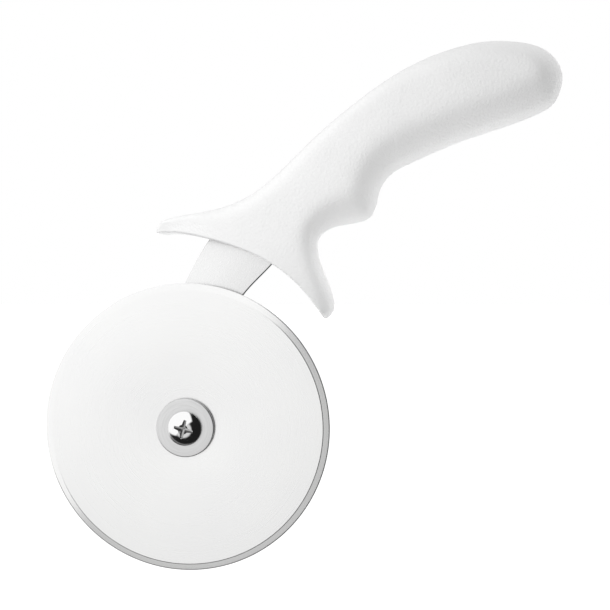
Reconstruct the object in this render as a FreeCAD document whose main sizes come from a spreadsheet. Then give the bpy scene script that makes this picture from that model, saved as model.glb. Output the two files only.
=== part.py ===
"""Pastry cutter wheel: a round steel blade that turns on a screwed hub at the end of a flat steel arm,
whose tang is moulded into a white plastic handle with a finger guard.

Frame: the origin is the middle of the blade, where the axle crosses its mid-plane. +Y runs along the axle
from the screw head to the cap nut, +Z is up and +X points from the blade towards the handle's butt.
"""
import FreeCAD, Part
import math
import os

import Sketcher

SIZES = {
    # blade
    "blade_diameter": 101.6,
    "blade_thickness": 1.6,
    "bevel_width": 2.4,
    "edge_land": 0.12,
    # hub, from the screw head back to the cap nut
    "bush_radius": 5.0,
    "running_clearance": 0.05,
    "side_play": 0.1,
    "washer_radius": 10.3,
    "washer_thickness": 1.3,
    "screw_hole_radius": 3.1,
    "screw_radius": 2.95,
    "screw_length": 13.8,
    "head_radius": 6.1,
    "head_rim": 1.1,
    "head_height": 3.7,
    "recess_width": 6.4,
    "recess_blade": 1.25,
    "recess_depth": 2.4,
    "recess_core": 2.0,
    "recess_taper": -8.0,
    "recess_turn": -13.0,
    "spring_radius": 5.9,
    "spring_thickness": 1.5,
    "spring_turn": 350.0,
    "nut_flats": 10.0,
    "nut_height": 4.6,
    "nut_dome_radius": 4.7,
    "nut_total": 8.4,
    "nut_wall": 2.2,
    "nut_lead": 1.0,
    "nut_corner_slope": 0.72,
    "nut_thread_radius": 3.0,
    # arm and tang
    "arm_thickness": 2.0,
    "arm_end_radius": 10.5,
    "tang_half_width": 6.0,
    "tang_length": 88.0,
    "tang_angle": 31.2,
    "tang_hole_radius": 3.0,
    "tang_hole_pitch": 20.0,
    "tang_first_hole": 32.0,
    # handle
    "handle_thickness": 23.0,
    "arch_round": 1.0,
    "tip_round": 1.8,
    "wing_round": 3.0,
    "hook_round": 3.0,
    "neck_round": 6.0,
    "grip_round": 9.0,
}

# Where the tang starts inside the guard, as (x, z).
TANG_ROOT = (24.0, 70.0)

# Points of the arm's two edges between the hub and the tang, as (x, z), from the hub upwards.
ARM_BACK_EDGE = [(-9.4, 22.0), (-6.0, 38.0), (-0.9, 50.7), (8.0, 66.3), (15.6, 74.9)]
ARM_FRONT_EDGE = [(11.2, 20.0), (14.2, 35.6), (20.0, 46.7), (30.1, 57.4), (37.2, 66.6)]

# How far along the tang its back edge and its front edge become straight.
TANG_BACK_START = 16.0
TANG_FRONT_START = 24.0

# The handle's side outline as smooth runs of (x, z) points. Each run has the name of the rounding that its
# edge starts with, and ends at the first point of the run after it, so the last run closes the outline.
HANDLE_RUNS = [
    ("tip_round", [(-9.9, 68.2), (-9.5, 70.6)]),
    ("tip_round", [(-6.4, 73.0), (4.0, 75.0), (14.6, 77.5)]),
    ("neck_round", [(26.4, 83.2), (42.5, 97.8), (60.6, 112.9), (80.2, 125.5), (98.0, 132.0)]),
    ("grip_round", [(114.0, 133.0), (124.0, 130.3), (129.8, 122.0), (128.0, 113.5)]),
    ("grip_round", [(120.0, 107.9), (98.8, 100.7)]),
    ("grip_round", [(77.3, 91.8), (70.9, 87.7), (67.6, 81.8)]),
    ("hook_round", [(66.6, 77.3), (64.3, 73.4)]),
    ("hook_round", [(60.0, 71.9), (51.0, 70.0), (46.6, 66.7)]),
    ("wing_round", [(46.4, 61.0), (49.3, 52.6)]),
    ("tip_round", [(51.9, 45.0), (51.8, 41.0)]),
    ("arch_round", [(49.3, 38.2), (42.4, 47.6), (33.8, 55.6), (20.5, 62.5), (5.4, 67.0), (-4.0, 68.5)]),
]

# The outline turns a corner at each end of the arch: its heading out of the front wing's tip, and the
# point that the rear wing's tip heads from.
FRONT_TIP_HEADING = (-0.2, 1.0)
BEFORE_REAR_TIP = (51.0, 39.4)

# Two places closer than this are the same place.
SAME_PLACE = 0.05

document = FreeCAD.newDocument("pastry_cutter_wheel")
sheet = document.addObject("Spreadsheet::Sheet", "Sizes")
for row, (alias, value) in enumerate(SIZES.items(), start=1):
    sheet.set(f"A{row}", alias)
    sheet.set(f"B{row}", str(value))
    sheet.setAlias(f"B{row}", alias)
document.recompute()


def size(alias):
    """The sheet's value under this alias."""
    return float(sheet.get(alias))


def cells(expression):
    """The expression with each alias written as a reference to the sheet."""
    for alias in sorted(SIZES, key=len, reverse=True):
        expression = expression.replace(alias, f"<<{alias}>>")
    return expression.replace("<<", "Sizes.").replace(">>", "")


def value_of(expression):
    """What an expression of aliases comes to, in millimetres."""
    return float(sheet.evalExpression(cells(expression)))


# Depths along the axle, each the plane between two pieces of the hub's stack.
BLADE_FACE = "blade_thickness / 2"
BUSH_FACE = "(blade_thickness / 2 + side_play)"
WASHER_FACE = "(blade_thickness / 2 + side_play + washer_thickness)"
ARM_BACK = "(blade_thickness / 2 + side_play + washer_thickness + arm_thickness)"
SPRING_BACK = "(blade_thickness / 2 + side_play + washer_thickness + arm_thickness + spring_thickness)"
ARM_MIDDLE = "(blade_thickness / 2 + side_play + washer_thickness + arm_thickness / 2)"


def new_body(label):
    """An empty PartDesign body with this label."""
    body = document.addObject("PartDesign::Body", label)
    body.Label = label
    return body


def new_sketch(body, name, role):
    """A sketch on one of the body's own origin planes."""
    sketch = body.newObject("Sketcher::SketchObject", name)
    plane = next(f for f in body.Origin.OriginFeatures if f.Role == role)
    sketch.AttachmentSupport = [(plane, "")]
    sketch.MapMode = "FlatFace"
    return sketch


def pin_point(sketch, geometry, end, across, along, name):
    """Ties one end of a sketch line or arc to two expressions, measured from the sketch's origin."""
    for kind, axis, expression in (("DistanceX", "x", across), ("DistanceY", "y", along)):
        value = value_of(expression)
        index = sketch.addConstraint(Sketcher.Constraint(kind, -1, 1, geometry, end, value))
        sketch.renameConstraint(index, f"{name}_{axis}")
        sketch.setExpression(f"Constraints.{name}_{axis}", cells(expression))


def closed_profile(sketch, corners, arcs=()):
    """A closed outline through corners given as pairs of expressions. The lines after the corners named in
    arcs are arcs instead, with their centre on the sketch's vertical axis."""
    places = [FreeCAD.Vector(value_of(a), value_of(b), 0) for a, b in corners]
    for i, start in enumerate(places):
        end = places[(i + 1) % len(places)]
        if i in arcs:
            outer, top = (start, end) if start.x > end.x else (end, start)
            drop = abs(outer.y - top.y)
            radius = (outer.x**2 + drop**2) / (2 * drop)
            centre = FreeCAD.Vector(0, top.y + math.copysign(radius, outer.y - top.y), 0)
            angles = sorted(math.atan2(p.y - centre.y, p.x) for p in (start, end))
            circle = Part.Circle(centre, FreeCAD.Vector(0, 0, 1), radius)
            sketch.addGeometry(Part.ArcOfCircle(circle, *angles), False)
        else:
            sketch.addGeometry(Part.LineSegment(start, end), False)
    for i, start in enumerate(places):
        following = (i + 1) % len(places)
        if i in arcs:
            arc_start = sketch.Geometry[i].StartPoint
            first = 1 if arc_start.distanceToPoint(start) < 1e-6 else 2
            sketch.addConstraint(Sketcher.Constraint("PointOnObject", i, 3, -2))
            pin_point(sketch, i, first, *corners[i], f"corner_{i}")
            sketch.addConstraint(Sketcher.Constraint("Coincident", i, 3 - first, following, 1))
        else:
            pin_point(sketch, i, 1, *corners[i], f"corner_{i}")
            joins_arc = following in arcs
            other = 1
            if joins_arc:
                arc_start = sketch.Geometry[following].StartPoint
                other = 1 if arc_start.distanceToPoint(places[following]) < 1e-6 else 2
            sketch.addConstraint(Sketcher.Constraint("Coincident", i, 2, following, other))


def turned(body, name, corners, arcs=(), turn=None):
    """A solid turned about the axle from a profile of (radius, depth) corners."""
    sketch = new_sketch(body, name + "_profile", "XY_Plane")
    closed_profile(sketch, corners, arcs)
    solid = body.newObject("PartDesign::Revolution", name)
    solid.Profile = sketch
    solid.ReferenceAxis = (sketch, ["V_Axis"])
    solid.Angle = 360.0
    if turn:
        solid.setExpression("Angle", cells(turn))
    return solid


def make_blade():
    """The cutting disc, ground to an edge from both faces."""
    body = new_body("cutter_blade")
    bore = "bush_radius + running_clearance"
    rim = "blade_diameter / 2"
    turned(body, "blade_disc", [
        (bore, "-blade_thickness / 2"),
        (f"{rim} - bevel_width", "-blade_thickness / 2"),
        (rim, "-edge_land / 2"),
        (rim, "edge_land / 2"),
        (f"{rim} - bevel_width", "blade_thickness / 2"),
        (bore, "blade_thickness / 2"),
    ])
    return body


def make_ring(label, inner, outer, front, back, turn=None):
    """A plain ring round the axle between two depths."""
    body = new_body(label)
    turned(body, label + "_ring", [(inner, front), (outer, front), (outer, back), (inner, back)], turn=turn)
    return body


def make_screw():
    """The pan-head screw with its cross recess. Its thread is a plain shank."""
    body = new_body("axle_screw")
    turned(body, "screw_blank", [
        ("0", f"-{WASHER_FACE} - head_height"),
        ("head_radius", f"-{WASHER_FACE} - head_rim"),
        ("head_radius", f"-{WASHER_FACE}"),
        ("screw_radius", f"-{WASHER_FACE}"),
        ("screw_radius", f"screw_length - {WASHER_FACE}"),
        ("0", f"screw_length - {WASHER_FACE}"),
    ], arcs=(0,))
    document.recompute()

    cross = new_sketch(body, "recess_cross", "XZ_Plane")
    cross.AttachmentOffset = FreeCAD.Placement(
        FreeCAD.Vector(0, 0, 0), FreeCAD.Rotation(FreeCAD.Vector(0, 0, 1), size("recess_turn"))
    )
    cross.setExpression("AttachmentOffset.Base.z", cells(f"{WASHER_FACE} + head_height"))
    reach, blade = "recess_width / 2", "recess_blade / 2"
    closed_profile(cross, [
        (reach, f"-{blade}"), (reach, blade), (blade, blade),
        (blade, reach), (f"-{blade}", reach), (f"-{blade}", blade),
        (f"-({reach})", blade), (f"-({reach})", f"-{blade}"), (f"-{blade}", f"-{blade}"),
        (f"-{blade}", f"-({reach})"), (blade, f"-({reach})"), (blade, f"-{blade}"),
    ])
    pocket = body.newObject("PartDesign::Pocket", "recess_pocket")
    pocket.Profile = cross
    pocket.setExpression("Length", cells("recess_depth"))
    pocket.setExpression("TaperAngle", cells("recess_taper"))
    document.recompute()

    core = new_sketch(body, "recess_core_profile", "XY_Plane")
    closed_profile(core, [
        ("0", f"-{WASHER_FACE} - head_height - head_rim"),
        ("recess_core", f"-{WASHER_FACE} - head_height - head_rim"),
        ("recess_core / 2", f"-{WASHER_FACE} - head_height + recess_depth"),
        ("0", f"-{WASHER_FACE} - head_rim + screw_radius / 4"),
    ])
    groove = body.newObject("PartDesign::Groove", "recess_core")
    groove.Profile = core
    groove.ReferenceAxis = (core, ["V_Axis"])
    groove.Angle = 360.0
    return body


def primitive(kind, name, depth, **bound):
    """A Part primitive whose own axis lies along the axle, starting at a depth given as an expression."""
    made = document.addObject(kind, name)
    made.Placement.Rotation = FreeCAD.Rotation(FreeCAD.Vector(1, 0, 0), -90)
    made.setExpression("Placement.Base.y", cells(depth))
    for name_of, expression in bound.items():
        made.setExpression(name_of, cells(expression))
    return made


def boolean(kind, name, first, second):
    """A Part boolean of two objects."""
    made = document.addObject(kind, name)
    if kind == "Part::MultiFuse":
        made.Shapes = [first, second]
    else:
        made.Base, made.Tool = first, second
    return made


def make_cap_nut():
    """The hexagon cap nut that closes the axle behind the arm."""
    hexagon = primitive("Part::Prism", "nut_hexagon", SPRING_BACK,
                        Circumradius="nut_flats / 2 / cos(30)", Height="nut_height")
    corners = primitive("Part::Cone", "nut_corner_chamfer", SPRING_BACK,
                        Radius1="nut_flats / 2 + nut_height * nut_corner_slope",
                        Radius2="nut_flats / 2", Height="nut_height")
    chamfered = boolean("Part::Common", "nut_chamfered", hexagon, corners)
    dome = primitive("Part::Sphere", "nut_dome", f"{SPRING_BACK} + nut_total - nut_dome_radius",
                     Radius="nut_dome_radius")
    collar = primitive("Part::Cylinder", "nut_collar", SPRING_BACK,
                       Radius="nut_dome_radius", Height="nut_total - nut_dome_radius")
    crown = boolean("Part::Fuse", "nut_crown", dome, collar)
    outside = boolean("Part::Fuse", "nut_outside", chamfered, crown)
    thread = primitive("Part::Cylinder", "nut_thread", f"{SPRING_BACK} - nut_lead",
                       Radius="nut_thread_radius", Height="nut_total - nut_wall + nut_lead")
    flat_front = primitive("Part::Box", "nut_front_trim", SPRING_BACK,
                           Length="nut_flats * 2", Width="nut_flats * 2", Height="nut_flats")
    flat_front.Placement.Base.x = -size("nut_flats")
    flat_front.Placement.Base.z = size("nut_flats")
    trimmed = boolean("Part::Common", "nut_trimmed", outside, flat_front)
    nut = boolean("Part::Cut", "cap_nut", trimmed, thread)
    nut.Label = "cap_nut"
    return nut


def vector(point, depth=0.0):
    """A 3D vector from an (x, z) pair."""
    return FreeCAD.Vector(point[0], depth, point[1])


def spline(points, depth, start=None, end=None):
    """A smooth curve through (x, z) points, with the directions it has at its ends where they are given."""
    curve = Part.BSplineCurve()
    extra = {}
    if start is not None and end is not None:
        extra = {"InitialTangent": start, "FinalTangent": end}
    curve.interpolate([vector(p, depth) for p in points], **extra)
    return curve.toShape()


def heading(before, after):
    """The unit direction from one (x, z) point to another."""
    step = vector(after) - vector(before)
    return step.normalize()


def tang_point(along, across):
    """A point of the tang, from its root, along it and across it."""
    angle = math.radians(size("tang_angle"))
    x = TANG_ROOT[0] + along * math.cos(angle) - across * math.sin(angle)
    z = TANG_ROOT[1] + along * math.sin(angle) + across * math.cos(angle)
    return (x, z)


def arm_outline():
    """The flat outline of the arm and its tang, with the tang's keying holes."""
    depth = value_of(WASHER_FACE)
    end_radius, half, length = size("arm_end_radius"), size("tang_half_width"), size("tang_length")
    left_foot = (-end_radius, 0.0)
    right_foot = (end_radius, 0.0)
    along = heading(TANG_ROOT, tang_point(length, 0))
    up = FreeCAD.Vector(0, 0, 1)
    back = [left_foot, *ARM_BACK_EDGE, tang_point(TANG_BACK_START, half)]
    front = [right_foot, *ARM_FRONT_EDGE, tang_point(TANG_FRONT_START, -half)]
    back_edge = spline(back, depth, up, along)
    front_edge = spline(front, depth, up, along)
    tang_back = Part.makeLine(vector(back[-1], depth), vector(tang_point(length - half, half), depth))
    tang_front = Part.makeLine(vector(front[-1], depth), vector(tang_point(length - half, -half), depth))
    tang_end = Part.Arc(
        vector(tang_point(length - half, half), depth),
        vector(tang_point(length, 0), depth),
        vector(tang_point(length - half, -half), depth),
    ).toShape()
    hub_end = Part.Arc(vector(left_foot, depth), vector((0, -end_radius), depth), vector(right_foot, depth)).toShape()
    face = Part.Face(Part.Wire([back_edge, tang_back, tang_end, tang_front, front_edge, hub_end]))
    axis = FreeCAD.Vector(0, 1, 0)
    holes = [((0.0, 0.0), size("screw_hole_radius"))]
    for number in range(3):
        centre = tang_point(size("tang_first_hole") + number * size("tang_hole_pitch"), 0)
        holes.append((centre, size("tang_hole_radius")))
    for centre, radius in holes:
        disc = Part.Face(Part.Wire(Part.makeCircle(radius, vector(centre, depth), axis)))
        face = face.cut(disc)
    return face


def extruded(name, outline, thickness):
    """A plate of this outline, thickened along the axle by an expression."""
    flat = document.addObject("Part::Feature", name + "_outline")
    flat.Shape = outline
    plate = document.addObject("Part::Extrusion", name + "_plate")
    plate.Base = flat
    plate.DirMode = "Custom"
    plate.Dir = FreeCAD.Vector(0, 1, 0)
    plate.Solid = True
    plate.setExpression("LengthFwd", cells(thickness))
    return plate


def make_arm():
    """The stamped arm with its tang."""
    plate = extruded("arm", arm_outline(), "arm_thickness")
    plate.Label = "arm"
    return plate


def handle_edges(depth):
    """The outline's edges at a depth, in order, each with the rounding at its start and at its end."""
    closed = HANDLE_RUNS + HANDLE_RUNS[:1]
    runs = [points + following[0:1] for (_, points), (_, following) in zip(closed, closed[1:])]
    roundings = [size(name) for name, _ in closed]
    smooth = [heading(before[-2], after[1]) for before, after in zip(runs, runs[1:])]
    into_front_tip = heading(runs[-1][-2], runs[-1][-1])
    out_of_front_tip = vector(FRONT_TIP_HEADING).normalize()
    out_of_rear_tip = heading(runs[-1][0], runs[-1][1])
    into_rear_tip = heading(BEFORE_REAR_TIP, runs[-1][0])
    starts = [out_of_front_tip] + smooth[:-1] + [out_of_rear_tip]
    ends = smooth[:-1] + [into_rear_tip, into_front_tip]
    edges = [spline(run, depth, start, end) for run, start, end in zip(runs, starts, ends)]
    return edges, list(zip(roundings, roundings[1:]))


def rounding_list(block, edges, roundings, depth):
    """Fillet's list of (edge number, radius at start, radius at end) for both rims of the block."""
    chosen = []
    for number, rim in enumerate(block.Shape.Edges, start=1):
        if rim.BoundBox.YLength > SAME_PLACE:
            continue
        middle = rim.valueAt((rim.FirstParameter + rim.LastParameter) / 2)
        start = rim.valueAt(rim.FirstParameter)
        middle.y = start.y = depth
        gaps = [edge.distToShape(Part.Vertex(middle))[0] for edge in edges]
        nearest = gaps.index(min(gaps))
        edge, (first, last) = edges[nearest], roundings[nearest]
        if start.distanceToPoint(edge.valueAt(edge.FirstParameter)) > SAME_PLACE:
            first, last = last, first
        chosen.append((number, first, last))
    return chosen


def make_handle(arm):
    """The moulded handle: a thick outline with rounded edges, closed round the arm's tang."""
    depth = value_of(f"{ARM_MIDDLE} - handle_thickness / 2")
    edges, roundings = handle_edges(depth)
    block = extruded("handle", Part.Face(Part.Wire(edges)), "handle_thickness")
    document.recompute()
    rounded = document.addObject("Part::Fillet", "handle_rounded")
    rounded.Base = block
    rounded.Edges = rounding_list(block, edges, roundings, depth)
    handle = boolean("Part::Cut", "handle", rounded, arm)
    handle.Label = "handle"
    return handle


def check(parts):
    """Stops with a message if an object failed or a piece isn't a valid solid."""
    for item in document.Objects:
        if {"Invalid", "Error"} & set(item.State):
            raise RuntimeError(f"{item.Label} failed: {item.State}")
    for item in parts:
        shape = item.Shape
        if shape.isNull() or not shape.isValid() or not shape.Solids:
            raise RuntimeError(f"{item.Label} is not a valid solid")


def main():
    arm = make_arm()
    parts = [
        arm,
        make_blade(),
        make_ring("front_washer", "screw_hole_radius", "washer_radius", f"-{WASHER_FACE}", f"-{BUSH_FACE}"),
        make_ring("hub_bush", "screw_hole_radius", "bush_radius", f"-{BUSH_FACE}", BUSH_FACE),
        make_ring("rear_washer", "screw_hole_radius", "washer_radius", BUSH_FACE, WASHER_FACE),
        make_ring("spring_washer", "screw_hole_radius", "spring_radius", ARM_BACK, SPRING_BACK, "spring_turn"),
        make_screw(),
        make_cap_nut(),
    ]
    document.recompute()
    parts.append(make_handle(arm))
    document.recompute()
    check(parts)
    os.makedirs("parts", exist_ok=True)
    for item in parts:
        item.Shape.exportStep(f"parts/{item.Label}.step")
        box = item.Shape.BoundBox
        print(f"{item.Label}: {item.Shape.Volume:.1f} mm3, {len(item.Shape.Faces)} faces, "
              f"x {box.XMin:.2f}..{box.XMax:.2f} y {box.YMin:.2f}..{box.YMax:.2f} z {box.ZMin:.2f}..{box.ZMax:.2f}")


main()
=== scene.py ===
"""A pastry cutter wheel: polished steel blade, screwed hub, flat arm and moulded white handle."""
import math

import bmesh
import bpy
import numpy as np
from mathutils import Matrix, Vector


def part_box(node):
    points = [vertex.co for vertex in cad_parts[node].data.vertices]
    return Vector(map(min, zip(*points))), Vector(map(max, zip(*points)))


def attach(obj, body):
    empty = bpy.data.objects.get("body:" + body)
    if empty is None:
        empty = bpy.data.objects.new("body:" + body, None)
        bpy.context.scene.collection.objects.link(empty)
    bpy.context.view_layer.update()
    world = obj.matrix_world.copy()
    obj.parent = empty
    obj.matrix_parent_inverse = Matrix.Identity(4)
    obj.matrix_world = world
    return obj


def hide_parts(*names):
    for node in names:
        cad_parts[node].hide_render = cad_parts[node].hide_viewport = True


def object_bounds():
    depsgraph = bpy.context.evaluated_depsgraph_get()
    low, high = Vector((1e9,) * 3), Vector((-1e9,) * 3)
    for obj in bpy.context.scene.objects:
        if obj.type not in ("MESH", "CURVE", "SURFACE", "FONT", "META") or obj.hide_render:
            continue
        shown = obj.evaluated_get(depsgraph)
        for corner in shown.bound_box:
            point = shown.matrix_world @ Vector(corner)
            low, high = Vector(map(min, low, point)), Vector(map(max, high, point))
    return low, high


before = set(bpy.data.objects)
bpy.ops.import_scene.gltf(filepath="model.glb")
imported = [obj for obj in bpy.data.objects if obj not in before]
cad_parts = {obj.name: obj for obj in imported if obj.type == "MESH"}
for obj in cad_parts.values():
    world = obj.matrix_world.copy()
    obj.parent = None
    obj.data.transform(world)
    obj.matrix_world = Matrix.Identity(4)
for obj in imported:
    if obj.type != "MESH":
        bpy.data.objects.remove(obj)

CAD_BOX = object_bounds()
MM = 0.001
AXLE = Vector((0.0, 1.0, 0.0))
WHITE = (1.0, 1.0, 1.0, 1.0)


# ---------------------------------------------------------------- node trees

class Graph:
    """Short ways to add nodes to a node tree."""

    def __init__(self, tree):
        self.nodes = tree.nodes
        self.links = tree.links

    def link(self, value, socket):
        """Joins an output to a socket, or sets the socket to a plain value."""
        if isinstance(value, bpy.types.NodeSocket):
            self.links.new(value, socket)
        else:
            socket.default_value = value

    def math(self, operation, first, second=0.0, third=0.0):
        node = self.nodes.new("ShaderNodeMath")
        node.operation = operation
        for value, socket in zip((first, second, third), node.inputs):
            self.link(value, socket)
        return node.outputs["Value"]

    def vector(self, operation, first, second=None):
        node = self.nodes.new("ShaderNodeVectorMath")
        node.operation = operation
        self.link(first, node.inputs[0])
        if second is not None:
            self.link(second, node.inputs[1])
        return node.outputs["Value" if operation in ("LENGTH", "DOT_PRODUCT") else "Vector"]

    def spread(self, value, low, high, out_low, out_high, smooth=False):
        """Runs from out_low to out_high as value runs from low to high, and stays level beyond."""
        node = self.nodes.new("ShaderNodeMapRange")
        if smooth:
            node.interpolation_type = "SMOOTHSTEP"
        self.link(value, node.inputs["Value"])
        limits = {"From Min": low, "From Max": high, "To Min": out_low, "To Max": out_high}
        for socket, number in limits.items():
            self.link(number, node.inputs[socket])
        return node.outputs["Result"]


# ---------------------------------------------------------------- camera, stage and light

def make_camera():
    """The camera stands in front of the tool, a little right of the blade and above its axle."""
    data = bpy.data.cameras.new("camera")
    data.lens = 51.05
    data.sensor_width = 36.0
    data.clip_start = 0.01
    camera = bpy.data.objects.new("camera", data)
    bpy.context.scene.collection.objects.link(camera)
    camera.location = (66.6 * MM, -300 * MM, 50.2 * MM)
    yaw, pitch = math.radians(-4.67), math.radians(-1.33)
    camera.rotation_euler = (math.radians(90) + pitch, 0.0, -yaw)
    bpy.context.scene.camera = camera


class Tent(Graph):
    """The world's light as strengths that depend on the direction they come from."""

    def __init__(self, tree):
        super().__init__(tree)
        self.nodes.clear()
        self.direction = self.nodes.new("ShaderNodeTexCoord").outputs["Generated"]

    def along(self, direction):
        """How far the light's direction lies along the given one, from -1 to 1."""
        return self.vector("DOT_PRODUCT", self.direction, direction)

    def step(self, value, low, high, out_low, out_high):
        """A spread with soft ends."""
        return self.spread(value, low, high, out_low, out_high, smooth=True)

    def away_from_gap(self, heading_deg, start_deg):
        """Positive on the tent's lit side, which ends start_deg past the lens axis towards the heading."""
        heading, start = math.radians(heading_deg), math.radians(start_deg)
        toward = Vector((math.cos(heading), 0.0, math.sin(heading)))
        return self.along(-toward * math.cos(start) - AXLE * math.sin(start))

    def background(self, strength=None):
        """White light of the given strength, or of strength one."""
        node = self.nodes.new("ShaderNodeBackground")
        node.inputs["Color"].default_value = WHITE
        if strength:
            self.link(strength, node.inputs["Strength"])
        return node.outputs["Background"]

    def mixed(self, choice, first, second):
        """The first light where choice is 0 and the second where it is 1."""
        node = self.nodes.new("ShaderNodeMixShader")
        self.link(choice, node.inputs["Fac"])
        self.link(first, node.inputs[1])
        self.link(second, node.inputs[2])
        return node.outputs["Shader"]


def mirrored_light(tent):
    """What metal mirrors: a card round the lens, a dimmer room round it, a bright back, a left panel."""
    behind = tent.along(AXLE)
    card = tent.along(Vector((-0.22, -1.0, -0.167)).normalized())
    room = tent.step(card, 0.705, 0.825, 0.015, 0.82)
    around_lens = tent.math("MAXIMUM", room, tent.step(card, 0.88, 0.945, 0.0, 1.135))
    open_side = tent.math("MAXIMUM", around_lens, tent.step(behind, -0.15, 0.38, 0.0, 0.95))
    panel = tent.math("MINIMUM", tent.away_from_gap(-48, -3), tent.along(Vector((-0.831, -0.557, 0.009))))
    panel = tent.math("MINIMUM", panel, tent.along(Vector((-0.332, -0.483, 0.81))))
    return tent.math("MAXIMUM", open_side, tent.step(panel, -0.08, 0.08, 0.0, 1.24))


def soft_light(tent):
    """What lights matt surfaces: dim on the lower right, with a bright ring behind the tool for its rims."""
    behind = tent.along(AXLE)
    lit_side = tent.away_from_gap(-35, 35)
    gap = tent.step(lit_side, -0.36, 0.68, 0.16, 0.89)
    front = tent.step(lit_side, 0.45, 1.0, gap, 0.62)
    rim_light = tent.step(tent.away_from_gap(-35, 20), -0.5, 0.5, 4.1, 1.05)
    ring = tent.step(behind, 0.085, 0.325, front, rim_light)
    return tent.step(behind, 0.46, 0.72, ring, 0.1)


def make_world():
    """A white tent with a dark opening on the camera's lower right, plain white to the camera itself."""
    world = bpy.data.worlds.new("tent")
    bpy.context.scene.world = world
    world.use_nodes = True
    tent = Tent(world.node_tree)
    soft, mirrored = tent.background(soft_light(tent)), tent.background(mirrored_light(tent))
    path = tent.nodes.new("ShaderNodeLightPath")
    lit = tent.mixed(path.outputs["Is Glossy Ray"], soft, mirrored)
    seen = tent.mixed(path.outputs["Is Camera Ray"], lit, tent.background())
    output = tent.nodes.new("ShaderNodeOutputWorld")
    tent.link(seen, output.inputs["Surface"])


def make_key_light():
    """A softbox on the camera's left, near enough that its light falls off along the handle."""
    data = bpy.data.lights.new("softbox", "AREA")
    data.shape = "SQUARE"
    data.size = 0.25
    data.energy = 0.245
    light = bpy.data.objects.new("softbox", data)
    bpy.context.scene.collection.objects.link(light)
    light.location = (-0.018, -0.155, 0.11)
    beam = Vector((0.05, 0.0, 0.07)) - light.location
    light.rotation_euler = beam.to_track_quat("-Z", "Y").to_euler()
    light.visible_camera = False
    light.visible_glossy = False


def make_floor():
    """A plain white floor, lit through from below like a light table."""
    low = CAD_BOX[0][2]
    bpy.ops.mesh.primitive_plane_add(size=8.0, location=(0, 0, low - 0.2 * MM))
    floor = bpy.context.object
    floor.name = "floor"
    material = bpy.data.materials.new("floor_white")
    material.use_nodes = True
    shader = material.node_tree.nodes["Principled BSDF"]
    shader.inputs["Base Color"].default_value = (0.3, 0.3, 0.3, 1)
    shader.inputs["Roughness"].default_value = 1.0
    shader.inputs["Specular IOR Level"].default_value = 0.0
    shader.inputs["Emission Color"].default_value = WHITE
    shader.inputs["Emission Strength"].default_value = 0.88
    floor.data.materials.append(material)
    floor.visible_glossy = False
    floor.visible_diffuse = False
    floor.visible_shadow = False


def make_view():
    """Plain display of light values, so white stays white."""
    scene = bpy.context.scene
    scene.view_settings.view_transform = "Standard"
    scene.view_settings.look = "None"
    scene.view_settings.exposure = 0.0


# ---------------------------------------------------------------- materials

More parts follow.
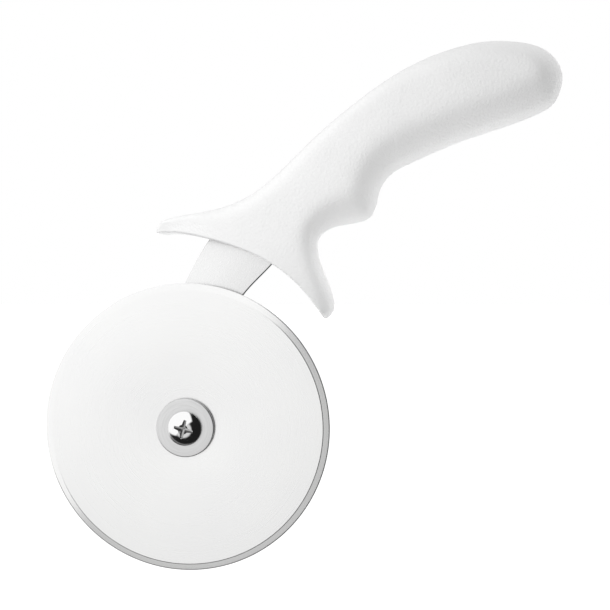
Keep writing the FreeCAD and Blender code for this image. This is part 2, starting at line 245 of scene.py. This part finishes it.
class Shader(Graph):
    """A Principled material whose procedural nodes work in millimetre coordinates."""

    def __init__(self, name, colour, roughness, metallic=0.0):
        self.material = bpy.data.materials.new(name)
        self.material.use_nodes = True
        super().__init__(self.material.node_tree)
        self.shader = self.nodes["Principled BSDF"]
        self.shader.inputs["Base Color"].default_value = (*colour, 1.0)
        self.shader.inputs["Roughness"].default_value = roughness
        self.shader.inputs["Metallic"].default_value = metallic
        coordinates = self.nodes.new("ShaderNodeTexCoord")
        self.place = self.vector("SCALE", coordinates.outputs["Object"])
        self.place.node.inputs["Scale"].default_value = 1 / MM

    def noise(self, per_mm, detail=2.0, place=None):
        node = self.nodes.new("ShaderNodeTexNoise")
        node.inputs["Scale"].default_value = per_mm
        node.inputs["Detail"].default_value = detail
        node.inputs["Roughness"].default_value = 0.5
        self.link(place or self.place, node.inputs["Vector"])
        return node.outputs["Fac"]

    def cells(self, per_mm):
        """Distance to the nearest of scattered points, for a pebbled surface."""
        node = self.nodes.new("ShaderNodeTexVoronoi")
        node.feature = "SMOOTH_F1"
        node.inputs["Scale"].default_value = per_mm
        node.inputs["Smoothness"].default_value = 0.8
        self.link(self.place, node.inputs["Vector"])
        return node.outputs["Distance"]

    def centred(self, noise, out_low, out_high):
        """Stretches the middle of a noise, where nearly all its values lie, over a range."""
        return self.spread(noise, 0.3, 0.7, out_low, out_high)

    def tint(self, value, dark, light):
        """The base colour runs from dark to light as value runs from 0 to 1."""
        node = self.nodes.new("ShaderNodeMix")
        node.data_type = "RGBA"
        self.link(value, node.inputs["Factor"])
        colours = [socket for socket in node.inputs if socket.type == "RGBA"]
        colours[0].default_value = (*dark, 1.0)
        colours[1].default_value = (*light, 1.0)
        mixed = next(socket for socket in node.outputs if socket.type == "RGBA")
        self.link(mixed, self.shader.inputs["Base Color"])

    def rough(self, value):
        self.link(value, self.shader.inputs["Roughness"])

    def bump(self, height, depth_mm, strength):
        node = self.nodes.new("ShaderNodeBump")
        node.inputs["Strength"].default_value = strength
        node.inputs["Distance"].default_value = depth_mm * MM
        self.link(height, node.inputs["Height"])
        self.link(node.outputs["Normal"], self.shader.inputs["Normal"])

    def parts(self):
        """The place's X, Y and Z as separate numbers."""
        node = self.nodes.new("ShaderNodeSeparateXYZ")
        self.link(self.place, node.inputs["Vector"])
        return node.outputs["X"], node.outputs["Y"], node.outputs["Z"]

    def joined(self, x, y, z=0.0):
        node = self.nodes.new("ShaderNodeCombineXYZ")
        for value, socket in zip((x, y, z), node.inputs):
            self.link(value, socket)
        return node.outputs["Vector"]

    def radius(self):
        """Distance from the axle."""
        return self.vector("LENGTH", self.vector("MULTIPLY", self.place, (1.0, 0.0, 1.0)))

    def circles(self, radial_scale, angular_scale):
        """Coordinates that run along circles round the axle: radius, angle and depth."""
        x, y, z = self.parts()
        angle = self.math("ARCTAN2", z, x)
        across = self.math("MULTIPLY", self.radius(), radial_scale)
        return self.joined(across, self.math("MULTIPLY", angle, angular_scale), y)


def handle_material():
    """White polypropylene with a fine moulded pebble grain and faint handling wear."""
    s = Shader("handle_plastic", (0.8, 0.8, 0.8), 0.45)
    grain = s.math("MULTIPLY_ADD", s.noise(2.6), 0.5, s.cells(1.25))
    s.bump(grain, 0.12, 0.9)
    s.tint(s.centred(s.noise(0.05, 3.0), 0.0, 1.0), (0.79, 0.79, 0.79), (0.82, 0.82, 0.82))
    s.rough(s.centred(s.noise(0.12, 4.0), 0.38, 0.52))
    return s.material


def blade_material(bevel_start):
    """Stainless steel ground to a fine circular grain, smoother on the bevel from the given radius out.

    It is not fully metallic, so it stays grey where it mirrors the dark side of the tent.
    """
    s = Shader("blade_steel", (0.78, 0.78, 0.78), 0.24, 0.86)
    grain = s.noise(1.0, 3.0, s.circles(9.0, 0.6))
    bevel = s.spread(s.radius(), bevel_start - 0.05, bevel_start + 0.15, 0.0, 1.0)
    s.rough(s.math("MULTIPLY_ADD", bevel, -0.06, s.centred(grain, 0.22, 0.28)))
    s.tint(s.centred(s.noise(0.03, 3.0), 0.0, 1.0), (0.77, 0.77, 0.77), (0.79, 0.79, 0.785))
    s.bump(grain, 0.002, 0.4)
    return s.material


def arm_material():
    """Satin steel with its grain running up the arm, as little mirror-like as the blade."""
    s = Shader("arm_steel", (0.76, 0.76, 0.76), 0.25, 0.86)
    way = Vector((0.35, 0.0, 0.94)).normalized()
    across = way.cross(AXLE)
    fine = s.math("MULTIPLY", s.vector("DOT_PRODUCT", s.place, across), 8.0)
    long = s.math("MULTIPLY", s.vector("DOT_PRODUCT", s.place, way), 0.25)
    grain = s.noise(1.0, 4.0, s.joined(fine, long))
    s.tint(s.centred(grain, 0.0, 1.0), (0.735, 0.735, 0.735), (0.76, 0.76, 0.76))
    s.rough(s.centred(grain, 0.22, 0.29))
    s.bump(grain, 0.0015, 0.6)
    return s.material


def painted_shade_edge_material():
    """The right-facing edge faces of the steel strip: painted shade, a near-black colour in place of the
    steel where those faces mirror the dark side of the tent, with a coarse bump.
    """
    s = Shader("arm_edge_painted_shade", (0.1, 0.1, 0.1), 0.5, 1.0)
    edge_mottle = s.noise(3.0, 4.0)
    # Painted shade: a near-black tint for the edge that faces the dark side of the tent.
    s.tint(s.centred(edge_mottle, 0.0, 1.0), (0.02, 0.02, 0.02), (0.08, 0.08, 0.08))
    s.rough(s.centred(edge_mottle, 0.4, 0.6))
    s.bump(edge_mottle, 0.02, 0.6)
    return s.material


def turned_material(name, low, high, rough):
    """Metal with faint circular turning marks round the axle."""
    s = Shader(name, high, rough, 1.0)
    grain = s.noise(1.0, 4.0, s.circles(3.2, 1.2))
    s.tint(s.centred(grain, 0.0, 1.0), low, high)
    s.rough(s.centred(grain, rough - 0.04, rough + 0.05))
    s.bump(grain, 0.003, 0.6)
    return s.material


def chrome_material():
    """Bright plating with a trace of haze and wear."""
    s = Shader("screw_chrome", (0.78, 0.78, 0.78), 0.08, 1.0)
    haze = s.noise(0.9, 4.0)
    s.tint(s.spread(haze, 0.35, 0.75, 0.0, 1.0), (0.8, 0.8, 0.8), (0.7, 0.7, 0.7))
    s.rough(s.centred(haze, 0.05, 0.14))
    s.bump(s.noise(2.5), 0.004, 0.4)
    return s.material


def screw_material(head_front, dome_radius):
    """The plating of the screw, with painted shade: a dull grey colour where the surface lies below the dome
    of the head, in the cross recess, broken up by noise.
    """
    s = Shader("screw_plating_recess_painted_shade", (0.75, 0.75, 0.75), 0.08, 1.0)
    depth = s.parts()[1]
    radius = s.radius()
    squared = s.math("MULTIPLY_ADD", s.math("MULTIPLY", radius, -1.0), radius, dome_radius ** 2)
    dome = s.math("SQRT", squared)
    below = s.math("ADD", s.math("ADD", depth, dome), -head_front - dome_radius)
    speckle = s.noise(3.0, 3.0)
    inside = s.spread(s.math("MULTIPLY_ADD", speckle, 0.5, below), 0.3, 0.9, 0.0, 1.0)
    recess = s.math("MULTIPLY", inside, s.spread(radius, 3.6, 3.9, 1.0, 0.0))
    # Painted shade: the recess is tinted dark grey, and it is also made rougher.
    s.tint(recess, (0.78, 0.78, 0.78), (0.36, 0.36, 0.36))
    s.rough(s.math("MULTIPLY_ADD", recess, 0.16, s.centred(s.noise(0.9, 4.0), 0.05, 0.12)))
    s.bump(speckle, 0.004, 0.5)
    return s.material


# ---------------------------------------------------------------- mesh helpers

def finish_mesh(mesh, sharp_deg):
    """Outward normals, smooth shading, and hard edges where faces meet at more than sharp_deg."""
    work = bmesh.new()
    work.from_mesh(mesh)
    bmesh.ops.remove_doubles(work, verts=work.verts, dist=1e-7)
    bmesh.ops.recalc_face_normals(work, faces=work.faces)
    for face in work.faces:
        face.smooth = True
    for edge in work.edges:
        if len(edge.link_faces) == 2 and edge.calc_face_angle() > math.radians(sharp_deg):
            edge.smooth = False
    work.to_mesh(mesh)
    work.free()


def show(mesh, material, node, body):
    """An object for the mesh that stands for a CAD node and rides on its body."""
    piece = bpy.data.objects.new(mesh.name, mesh)
    bpy.context.scene.collection.objects.link(piece)
    mesh.materials.append(material)
    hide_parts(node)
    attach(piece, body)
    return piece


def built_mesh(name, vertices, faces):
    """A finished mesh from vertices in metres."""
    mesh = bpy.data.meshes.new(name)
    mesh.from_pydata([tuple(v) for v in vertices], [], [tuple(int(i) for i in f) for f in faces])
    mesh.validate()
    finish_mesh(mesh, 40)
    return mesh


def softened_mesh(name, node, width):
    """A copy of a CAD node's shape with its sharp edges rounded."""
    work = bmesh.new()
    work.from_mesh(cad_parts[node].data)
    bmesh.ops.remove_doubles(work, verts=work.verts, dist=1e-6)
    bmesh.ops.dissolve_limit(work, angle_limit=math.radians(0.6), verts=work.verts, edges=work.edges)
    sharp = [e for e in work.edges if len(e.link_faces) == 2 and e.calc_face_angle() > math.radians(35)]
    bmesh.ops.bevel(work, geom=sharp, offset=width * MM, segments=3, profile=0.5,
                    affect="EDGES", clamp_overlap=True)
    bmesh.ops.triangulate(work, faces=[f for f in work.faces if len(f.verts) > 4])
    mesh = bpy.data.meshes.new(name)
    work.to_mesh(mesh)
    work.free()
    finish_mesh(mesh, 30)
    return mesh


def rounded(corners, radius, steps=4):
    """A closed (radius, depth) profile with each corner replaced by a small arc."""
    result = []
    count = len(corners)
    for i, corner in enumerate(corners):
        here = Vector(corner)
        before = Vector(corners[i - 1]) - here
        after = Vector(corners[(i + 1) % count]) - here
        turn = before.angle(after)
        reach = min(radius / math.tan(turn / 2), 0.45 * before.length, 0.45 * after.length)
        first, last = here + before.normalized() * reach, here + after.normalized() * reach
        for k in range(steps + 1):
            t = k / steps
            result.append((1 - t) ** 2 * first + 2 * t * (1 - t) * here + t ** 2 * last)
    return result


def on_circle(radius, depth, angle):
    """A point in metres at a radius, depth and angle round the axle, given in millimetres and radians."""
    return (radius * math.cos(angle) * MM, depth * MM, radius * math.sin(angle) * MM)


def lathe(profile, segments, turn=2 * math.pi):
    """Vertices and faces of a closed (radius, depth) profile turned round the axle, in metres."""
    closed = abs(turn - 2 * math.pi) < 1e-6
    stations = segments if closed else segments + 1
    vertices, faces = [], []
    for i in range(stations):
        vertices += [on_circle(radius, depth, turn * i / segments) for radius, depth in profile]
    n = len(profile)
    for i in range(segments):
        j = (i + 1) % stations
        for k in range(n):
            m = (k + 1) % n
            faces.append((i * n + k, i * n + m, j * n + m, j * n + k))
    return vertices, faces


def depths(node):
    """The lowest and highest depth of a CAD node along the axle, in millimetres."""
    low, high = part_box(node)
    return low[1] / MM, high[1] / MM


def outer_radius(node):
    """Half the width of a round CAD node, in millimetres."""
    low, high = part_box(node)
    return (high[0] - low[0]) / 2 / MM


def ring_profile(node, inner, edge):
    """The (radius, depth) section of a round CAD node with a hole, its edges rounded by edge."""
    front, back = depths(node)
    outer = outer_radius(node)
    return rounded([(inner, front), (outer, front), (outer, back), (inner, back)], edge)


# ---------------------------------------------------------------- blade and hub

BORE_RADIUS = 5.05
BEVEL_WIDTH = 2.45
HOLE_RADIUS = 3.1
SHANK_RADIUS = 2.95
HEAD_RADIUS = 6.1
HEAD_HEIGHT = 3.7
HEAD_RIM = 1.1


def make_blade():
    """The disc with its ground bevel: a small shoulder, the bevel and a finer cutting edge."""
    rim = outer_radius("cutter_blade")
    front, back = depths("cutter_blade")
    half = (back - front) / 2
    one_side = [
        (BORE_RADIUS, half),
        (rim - BEVEL_WIDTH, half),
        (rim - 2.2, half - 0.14),
        (rim - 0.35, half - 0.55),
        (rim, 0.05),
    ]
    profile = [(r, -d) for r, d in one_side] + [(r, d) for r, d in reversed(one_side)]
    vertices, faces = lathe(rounded(profile, 0.12, 3), 360)
    mesh = built_mesh("blade_disc", vertices, faces)
    show(mesh, blade_material(rim - BEVEL_WIDTH), "cutter_blade", "wheel")


def make_ring(node, name, material, edge):
    """A washer or bush as a ring with softened edges."""
    vertices, faces = lathe(ring_profile(node, HOLE_RADIUS, edge), 160)
    show(built_mesh(name, vertices, faces), material, node, "holder")


def make_spring_washer():
    """The split ring, cut through at one place."""
    profile = ring_profile("spring_washer", HOLE_RADIUS, 0.2)
    gap = math.radians(9)
    vertices, faces = lathe(profile, 140, 2 * math.pi - gap)
    count = len(profile)
    faces.append(tuple(range(count)))
    faces.append(tuple(range(len(vertices) - count, len(vertices))))
    material = turned_material("spring_steel", (0.42, 0.42, 0.43), (0.5, 0.5, 0.51), 0.36)
    mesh = built_mesh("split_washer", vertices, faces)
    show(mesh, material, "spring_washer", "holder")


def cross_depth(x, z):
    """Depth of the screw's cross recess at a point of its head, in millimetres."""
    turn = math.radians(13)
    u = x * math.cos(turn) - z * math.sin(turn)
    v = x * math.sin(turn) + z * math.cos(turn)
    reach, core, deepest = 3.25, 1.75, 2.6
    wall_slope, cone_slope = 5.0, 1.5
    depth = 0.0
    for along, across in ((abs(u), abs(v)), (abs(v), abs(u))):
        half_blade = 0.42 + 0.5 * max(1 - along / reach, 0.0)
        inside = min(reach - along, half_blade - across)
        floor = 2.3 * (1 - 0.62 * (along / reach) ** 1.5)
        depth = max(depth, min(floor, wall_slope * max(inside, 0.0)))
    cone = cone_slope * max(core - math.hypot(u, v), 0.0)
    return min(deepest, max(depth, cone))


def screw_head_rings(front, dome_radius, angles):
    """The domed face as rings of points from its middle outwards, with the recess cut into it."""
    count = 84
    rings = []
    for k in range(1, count + 1):
        radius = (HEAD_RADIUS - 0.18) * k / count
        crown = front + dome_radius - math.sqrt(dome_radius ** 2 - radius ** 2)
        ring = []
        for angle in angles:
            cut = cross_depth(radius * math.cos(angle), radius * math.sin(angle))
            ring.append(on_circle(radius, crown + cut, angle))
        rings.append(ring)
    return rings


def screw_side_rings(front, back, angles):
    """The head's rim and seat, then the shank with its chamfered end."""
    seat = front + HEAD_HEIGHT
    profile = [
        (HEAD_RADIUS - 0.04, seat - HEAD_RIM + 0.02),
        (HEAD_RADIUS, seat - HEAD_RIM + 0.16),
        (HEAD_RADIUS, seat - 0.15),
        (HEAD_RADIUS - 0.15, seat),
        (SHANK_RADIUS, seat),
        (SHANK_RADIUS, back - 0.6),
        (SHANK_RADIUS - 0.6, back),
    ]
    return [[on_circle(radius, depth, angle) for angle in angles] for radius, depth in profile]


def make_screw():
    """The pan-head screw: domed head with its cross recess, and the shank that runs to the nut."""
    front, back = depths("axle_screw")
    rise = HEAD_HEIGHT - HEAD_RIM
    dome_radius = (HEAD_RADIUS ** 2 + rise ** 2) / (2 * rise)
    segments = 240
    angles = [2 * math.pi * i / segments for i in range(segments)]
    rings = screw_head_rings(front, dome_radius, angles) + screw_side_rings(front, back, angles)
    vertices = [(0.0, (front + cross_depth(0, 0)) * MM, 0.0)] + [point for ring in rings for point in ring]
    faces = []
    for i in range(segments):
        j = (i + 1) % segments
        faces.append((0, 1 + i, 1 + j))
        for k in range(len(rings) - 1):
            a, b = 1 + k * segments, 1 + (k + 1) * segments
            faces.append((a + i, b + i, b + j, a + j))
    last = 1 + (len(rings) - 1) * segments
    faces.append(tuple(last + i for i in range(segments)))
    mesh = built_mesh("pan_head_screw", vertices, faces)
    show(mesh, screw_material(front, dome_radius), "axle_screw", "holder")


def make_nut():
    """The cap nut behind the arm."""
    mesh = softened_mesh("domed_nut", "cap_nut", 0.12)
    show(mesh, chrome_material(), "cap_nut", "holder")


def make_arm():
    """The steel strip. Its edge faces on the handle's side, turned towards +X, get painted shade: a dark
    material in place of the steel.
    """
    plate = show(softened_mesh("arm_plate", "arm", 0.4), arm_material(), "arm", "holder")
    plate.data.materials.append(painted_shade_edge_material())
    # Painted shade: faces turned towards +X take the dark edge material.
    for face in plate.data.polygons:
        if abs(face.normal.y) < 0.985 and face.normal.x > 0.1:
            face.material_index = 1


# ---------------------------------------------------------------- handle outline

OUTLINE_STEP = 0.25
CORNER_GAP = 20.0


def section_loop(node, depth):
    """The closed outline of a CAD node at a depth along the axle, as (x, z) points in millimetres."""
    work = bmesh.new()
    work.from_mesh(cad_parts[node].data)
    bmesh.ops.remove_doubles(work, verts=work.verts, dist=1e-6)
    cut = bmesh.ops.bisect_plane(work, geom=work.verts[:] + work.edges[:] + work.faces[:],
                                 plane_co=(0, depth * MM, 0), plane_no=AXLE, clear_outer=True)
    ties = {}
    for edge in (e for e in cut["geom_cut"] if isinstance(e, bmesh.types.BMEdge)):
        for a, b in (edge.verts, reversed(edge.verts)):
            ties.setdefault(a, []).append(b)
    start = min(ties, key=lambda v: v.co.x)
    loop, before, here = [start], None, start
    while True:
        after = next(v for v in ties[here] if v is not before)
        if after is start:
            break
        loop.append(after)
        before, here = here, after
    points = np.array([(v.co.x / MM, v.co.z / MM) for v in loop])
    work.free()
    return points


def distances_along(points):
    """The distance from a polyline's start to each of its corners."""
    return np.concatenate([[0.0], np.cumsum(np.hypot(*np.diff(points, axis=0).T))])


def points_at(points, wanted):
    """Points at the wanted distances along a polyline."""
    along = distances_along(points)
    return np.column_stack([np.interp(wanted, along, points[:, i]) for i in (0, 1)])


def closed_up(loop):
    """A closed loop as a polyline that ends where it starts."""
    return np.vstack([loop, loop[:1]])


def smoothed(points, spread):
    """A closed loop of points with a Gaussian blur along it, spread given in points."""
    reach = int(spread * 4)
    weights = np.exp(-0.5 * (np.arange(-reach, reach + 1) / spread) ** 2)
    weights /= weights.sum()
    result = np.zeros_like(points)
    for offset, weight in zip(range(-reach, reach + 1), weights):
        result += weight * np.roll(points, offset, axis=0)
    return result


def corner_turn(loop, reach):
    """How sharply a closed loop turns at each of its points, in radians."""
    before = loop - np.roll(loop, reach, axis=0)
    after = np.roll(loop, -reach, axis=0) - loop
    dot = (before * after).sum(axis=1)
    return np.arccos(np.clip(dot / np.hypot(*before.T) / np.hypot(*after.T), -1, 1))


def handle_outline(middle):
    """The handle's outline as a closed loop that starts with the guard's arch, and where the arch ends.

    The arch runs between the outline's two sharpest corners, which lie more than CORNER_GAP apart.
    """
    raw = closed_up(section_loop("handle", middle + 1.5))
    length = distances_along(raw)[-1]
    count = int(length / OUTLINE_STEP)
    loop = points_at(raw, np.linspace(0.0, length, count + 1)[:-1])
    turns = corner_turn(loop, 6)
    first = int(np.argmax(turns))
    far = np.hypot(*(loop - loop[first]).T) > CORNER_GAP
    second = int(np.argmax(np.where(far, turns, 0.0)))
    front, rear = sorted((first, second), key=lambda i: loop[i][0])
    if (rear - front) % len(loop) > len(loop) / 2:
        loop = loop[::-1]
        front, rear = len(loop) - 1 - front, len(loop) - 1 - rear
    loop = np.roll(loop, -front, axis=0)
    return smoothed(loop, 2.2), (rear - front) % len(loop)


# ---------------------------------------------------------------- handle surface

ROWS, COLUMNS = 300, 76
RIM_STRIPS = 8
SMOOTHING_PASSES = 20
BUTT_SPAN = 11

# The guard's two tips: how far their thinning reaches, and the share of the thickness left at the tip.
TIP_LENGTH, TIP_THICKNESS = 30.0, 0.66

# The small rounding along the guard's arch: its reach and its depth.
ARCH_REACH, ARCH_DEPTH = 0.8, 0.6

# The large rounding elsewhere: its depth at no reach, its depth per millimetre of reach, and half the
# thickness that it leaves at the outline.
ROLL_BASE, ROLL_PER_REACH, RIM_HALF = 0.9, 0.675, 0.8

# How much lower the broad face lies along its two sides than along its middle.
CROWN = 0.4

# Share of the full thickness at fractions of the way from the arch to the butt.
BELLY = [(0.0, 0.88), (0.12, 0.88), (0.3, 0.92), (0.58, 1.0), (0.8, 0.98), (1.0, 0.93)]

# How far the rounding reaches in, as (distance along the outline from the arch's end, reach).
EDGE_REACH = [
    (0, 4.0), (4, 7.5), (9.5, 7.0), (21, 7.4), (28, 14.0), (36, 16.0), (43, 14.0), (51, 16.5), (56, 17.5),
    (61, 15.5), (69, 15.5), (77, 16.0), (87, 17.5), (98, 16.0), (109, 13.0), (119, 10.5), (128, 9.0),
    (135, 7.5), (143, 5.5), (149, 4.6), (158, 4.6), (168, 5.2), (200, 6.0),
]
# The same for the last stretch, with the distance taken back from the outline's end.
LAST_REACH = [(50, 7.0), (30, 5.0), (12, 2.6), (0, 1.0)]

# Slope of the rolled edge in degrees at fractions of its reach, from the outline inwards.
ROLL_TILT = [
    (0.0, 70), (0.07, 63), (0.11, 58), (0.155, 51), (0.25, 43), (0.34, 38),
    (0.45, 32), (0.53, 24), (0.61, 13), (0.7, 6), (0.84, 2), (1.0, 0),
]


def edge_reach(count, spacing, rear):
    """How far the rounding reaches in from each point of the outline after the arch, in millimetres."""
    whole = (count - rear) * spacing
    marks = EDGE_REACH + [(whole - back, reach) for back, reach in LAST_REACH]
    along = np.arange(count - rear) * spacing
    reach = np.interp(along, [m[0] for m in marks], [m[1] for m in marks])
    blur = int(3 / spacing)
    window = np.ones(2 * blur + 1) / (2 * blur + 1)
    return np.convolve(np.pad(reach, blur, mode="edge"), window, mode="valid")


def distance_to(points, path):
    """Each point's distance to a polyline, and which of its corners is nearest."""
    distance = np.empty(len(points))
    nearest = np.empty(len(points), dtype=int)
    ahead = np.gradient(path, axis=0)
    ahead /= np.hypot(*ahead.T)[:, None]
    size = 2000
    for begin in range(0, len(points), size):
        block = points[begin:begin + size]
        gaps = np.hypot(*np.moveaxis(block[:, None] - path[None], -1, 0))
        k = gaps.argmin(axis=1)
        offset = block - path[k]
        off_line = np.abs(offset[:, 0] * ahead[k, 1] - offset[:, 1] * ahead[k, 0])
        inside = (k > 0) & (k < len(path) - 1)
        distance[begin:begin + size] = np.where(inside, off_line, gaps.min(axis=1))
        nearest[begin:begin + size] = k
    return distance, nearest


def roll_drop(distance, reach, deep):
    """How far the rolled edge lies below the broad face at a distance from the outline."""
    fraction = np.linspace(0, 1, 201)
    slope = np.tan(np.radians(np.interp(fraction, *zip(*ROLL_TILT))))
    steps = (slope[1:] + slope[:-1]) / 2
    below = np.concatenate([np.cumsum(steps[::-1])[::-1], [0.0]])
    return deep * np.interp(distance / reach, fraction, below / below[0])


def crowded(count):
    """Fractions from 0 to 1 that lie closer together towards both ends."""
    return (1 - np.cos(np.linspace(0, math.pi, count + 1))) / 2


def handle_grid(loop, rear):
    """A grid of (x, z) points that fits the outline, in rows from the arch to the butt."""
    butt = int(np.argmax(np.hypot(*(loop - loop[rear // 2]).T)))
    span = int(BUTT_SPAN / np.hypot(*(loop[1] - loop[0])))
    s, t = crowded(ROWS), crowded(COLUMNS)

    def side(points, fractions):
        return points_at(points, fractions * distances_along(points)[-1])

    closed = closed_up(loop)
    arch = side(closed[:rear + 1], t)
    finger_side = side(closed[rear:butt - span + 1], s)
    end = side(closed[butt - span:butt + span + 1][::-1], t)
    back_side = side(closed[butt + span:][::-1], s)
    down, across = s[:, None, None], t[None, :, None]
    grid = (1 - across) * back_side[:, None] + across * finger_side[:, None]
    for row, weight in ((arch, (1 - down) ** 2), (end, down ** 2)):
        grid = grid + weight * (row[None] - (1 - across) * row[0] - across * row[-1])
    return grid


def guard_taper(grid, length, least):
    """Thins the two tips of the guard: 1 beyond length from a tip, down to least at the tip itself."""
    factor = np.ones(grid.shape[:2])
    for tip in (grid[0, 0], grid[0, -1]):
        away = np.clip(np.hypot(grid[..., 0] - tip[0], grid[..., 1] - tip[1]) / length, 0, 1)
        factor = np.minimum(factor, least + (1 - least) * away * (2 - away))
    return factor


def half_thickness(grid, half):
    """Half the handle's thickness before its edges are rolled: fullest at the palm, thin at the guard."""
    belly = np.interp(crowded(ROWS), *zip(*BELLY))
    blur = 20
    window = np.ones(2 * blur + 1) / (2 * blur + 1)
    belly = np.convolve(np.pad(belly, blur, mode="edge"), window, mode="valid")
    return half * belly[:, None] * guard_taper(grid, TIP_LENGTH, TIP_THICKNESS)


def softened_drop(drop, free):
    """Evens out the creases where rolled edges meet, only as far as each point is free to move."""
    for _ in range(SMOOTHING_PASSES):
        around = (drop[:-2, 1:-1] + drop[2:, 1:-1] + drop[1:-1, :-2] + drop[1:-1, 2:]) / 4
        drop[1:-1, 1:-1] += free[1:-1, 1:-1] * (around - drop[1:-1, 1:-1])
    return drop


def handle_height(grid, loop, rear, half):
    """Height of the moulding's surface over its middle plane at each point of the grid."""
    shape = grid.shape[:2]
    flat = grid.reshape(-1, 2)
    reach = edge_reach(len(loop), np.hypot(*(loop[1] - loop[0])), rear)
    to_arch, _ = distance_to(flat, closed_up(loop)[:rear + 1])
    to_side, nearest = distance_to(flat, loop[rear:])
    to_arch, to_side = to_arch.reshape(shape), to_side.reshape(shape)
    to_arch[0] = 0.0
    to_side[:, [0, -1]] = to_side[-1:] = 0.0
    side_reach = reach[nearest].reshape(shape)
    thick = half_thickness(grid, half)
    side_deep = np.minimum(ROLL_PER_REACH * side_reach + ROLL_BASE, thick - RIM_HALF)
    side_drop = roll_drop(to_side, side_reach, side_deep)
    arch_drop = roll_drop(to_arch, ARCH_REACH, ARCH_DEPTH)
    free = np.clip((np.minimum(to_side, to_arch + 1.0) - 1.2) / 2.5, 0, 1)
    drop = softened_drop((side_drop ** 4 + arch_drop ** 4) ** 0.25, free)
    crown = CROWN * (2 * crowded(COLUMNS)[None, :] - 1) ** 2 * np.clip(to_side / 4, 0, 1)
    return thick - crown - drop


def broad_side(grid, depth, first, outward):
    """Vertices and faces of one side of the handle; first is the number of its first vertex."""
    vertices = [(x * MM, y * MM, z * MM) for (x, z), y in zip(grid.reshape(-1, 2), depth.reshape(-1))]
    index = first + np.arange(depth.size).reshape(depth.shape)
    faces = []
    for i in range(ROWS):
        for j in range(COLUMNS):
            corners = (index[i, j], index[i + 1, j], index[i + 1, j + 1], index[i, j + 1])
            faces.append(corners if outward else corners[::-1])
    return vertices, faces, index


def rim_cells():
    """The grid's border as (row, column) pairs, once round."""
    cells = [(0, j) for j in range(COLUMNS)] + [(i, COLUMNS) for i in range(ROWS)]
    return cells + [(ROWS, j) for j in range(COLUMNS, 0, -1)] + [(i, 0) for i in range(ROWS, 0, -1)]


def rim_band(grid, height, middle, near, far, first):
    """Vertices and faces that join the borders of the two broad sides in narrow strips."""
    rim = rim_cells()
    vertices, faces = [], []
    previous = [near[cell] for cell in rim]
    for k in range(1, RIM_STRIPS + 1):
        current = [far[cell] for cell in rim]
        if k < RIM_STRIPS:
            current = [first + len(vertices) + i for i in range(len(rim))]
            for cell in rim:
                x, z = grid[cell]
                depth = middle + height[cell] * (2 * k / RIM_STRIPS - 1)
                vertices.append((x * MM, depth * MM, z * MM))
        for a in range(len(rim)):
            b = (a + 1) % len(rim)
            faces.append((previous[a], previous[b], current[b], current[a]))
        previous = current
    return vertices, faces


def make_handle():
    """The moulding: a boundary-fitted grid over each broad side, with rolled edges, joined round the rim."""
    low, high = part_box("handle")
    middle = (low[1] + high[1]) / 2 / MM
    half = (high[1] - low[1]) / 2 / MM
    loop, rear = handle_outline(middle)
    grid = handle_grid(loop, rear)
    height = handle_height(grid, loop, rear, half)
    vertices, faces, near = broad_side(grid, middle - height, 0, False)
    far_vertices, far_faces, far = broad_side(grid, middle + height, len(vertices), True)
    vertices += far_vertices
    band_vertices, band_faces = rim_band(grid, height, middle, near, far, len(vertices))
    mesh = built_mesh("handle_moulding", vertices + band_vertices, faces + far_faces + band_faces)
    show(mesh, handle_material(), "handle", "holder")


# ---------------------------------------------------------------- scene

make_camera()
make_world()
make_key_light()
make_floor()
make_view()

WASHER = turned_material("washer_steel", (0.57, 0.57, 0.57), (0.67, 0.67, 0.67), 0.34)
BRASS = turned_material("bush_brass", (0.6, 0.45, 0.22), (0.72, 0.56, 0.3), 0.3)

make_blade()
make_ring("front_washer", "head_washer", WASHER, 0.5)
make_ring("rear_washer", "arm_washer", WASHER, 0.25)
make_ring("hub_bush", "bush_sleeve", BRASS, 0.1)
make_spring_washer()
make_screw()
make_nut()
make_arm()
make_handle()
